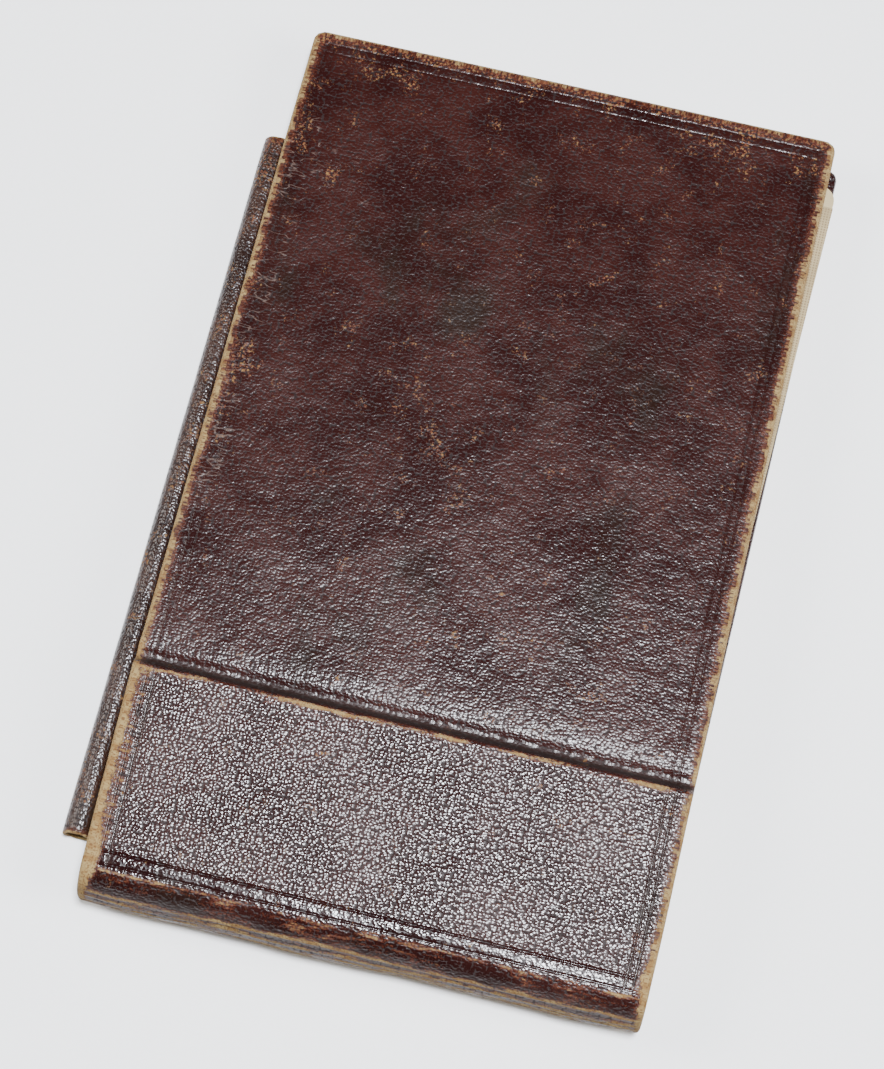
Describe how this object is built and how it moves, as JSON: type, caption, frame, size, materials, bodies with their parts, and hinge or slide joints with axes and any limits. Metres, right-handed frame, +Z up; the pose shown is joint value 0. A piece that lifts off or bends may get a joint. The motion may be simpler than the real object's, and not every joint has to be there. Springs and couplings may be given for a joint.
{
  "type": "leather pocket case",
  "caption": "Book-form leather pocket case: hinged front flap over bound card sleeves, fixed lower panel, rounded spine and a pencil loop along one edge.",
  "frame": {"origin": "on the outer face of the back cover, in the middle of its width and half way along the closed case", "axes": "+X across the case away from the pencil loop, +Y along the case from the rounded spine to the free end of the flap, +Z up out of the back cover"},
  "size_m": [0.1027, 0.1606, 0.0165],
  "materials": {
    "cover_leather": "worn pebble grain, satin",
    "loop_leather": "worn, rubbed to tan",
    "board": "pressed strawboard, matt",
    "lining_paper": "aged paper, matt",
    "card": "aged cream card, matt",
    "linen": "fine bookbinder's linen",
    "thread": "waxed linen thread"
  },
  "bodies": {
    "case": {"back_leather": "cover_leather", "back_board": "board", "back_lining": "lining_paper", "spine_leather": "cover_leather", "spine_liner": "board", "strip_leather": "cover_leather", "strip_board": "board", "hinge_leather": "cover_leather", "hinge_cloth": "linen", "pencil_loop": "loop_leather", "guard_1": "card", "guard_2": "card", "guard_3": "card", "guard_4": "card", "guard_5": "card", "tongue_1": "linen", "tongue_2": "linen", "tongue_3": "linen", "tongue_4": "linen", "binding_threads": "thread"},
    "flap": {"flap_leather": "cover_leather", "flap_board": "board", "flap_lining": "lining_paper"},
    "leaf_1": {"leaf_1_back": "card", "leaf_1_spacer": "card", "leaf_1_front": "card", "leaf_1_edging": "linen"},
    "leaf_2": {"leaf_2_back": "card", "leaf_2_spacer": "card", "leaf_2_front": "card", "leaf_2_edging": "linen"},
    "leaf_3": {"leaf_3_back": "card", "leaf_3_spacer": "card", "leaf_3_front": "card", "leaf_3_edging": "linen"},
    "leaf_4": {"leaf_4_back": "card", "leaf_4_spacer": "card", "leaf_4_front": "card", "leaf_4_edging": "linen"}
  },
  "joints": [
    {"name": "flap_hinge", "type": "hinge", "parent": "case", "child": "flap", "pos_m": [0, -0.0394, 0.0163], "axis": [1, 0, 0], "range_deg": [0, 170]},
    {"name": "leaf_1_hinge", "type": "hinge", "parent": "case", "child": "leaf_1", "pos_m": [0.0014, -0.0364, 0.00485], "axis": [1, 0, 0], "range_deg": [0, 28]},
    {"name": "leaf_2_hinge", "type": "hinge", "parent": "case", "child": "leaf_2", "pos_m": [0.0014, -0.0364, 0.00695], "axis": [1, 0, 0], "range_deg": [0, 46]},
    {"name": "leaf_3_hinge", "type": "hinge", "parent": "case", "child": "leaf_3", "pos_m": [0.0014, -0.0364, 0.00905], "axis": [1, 0, 0], "range_deg": [0, 65]},
    {"name": "leaf_4_hinge", "type": "hinge", "parent": "case", "child": "leaf_4", "pos_m": [0.0014, -0.0364, 0.01115], "axis": [1, 0, 0], "range_deg": [0, 85]}
  ],
  "couplings": [
    {"joint": "leaf_1_hinge", "follows": "flap_hinge", "ratio": 0.16},
    {"joint": "leaf_2_hinge", "follows": "flap_hinge", "ratio": 0.27},
    {"joint": "leaf_3_hinge", "follows": "flap_hinge", "ratio": 0.38},
    {"joint": "leaf_4_hinge", "follows": "flap_hinge", "ratio": 0.5}
  ]
}
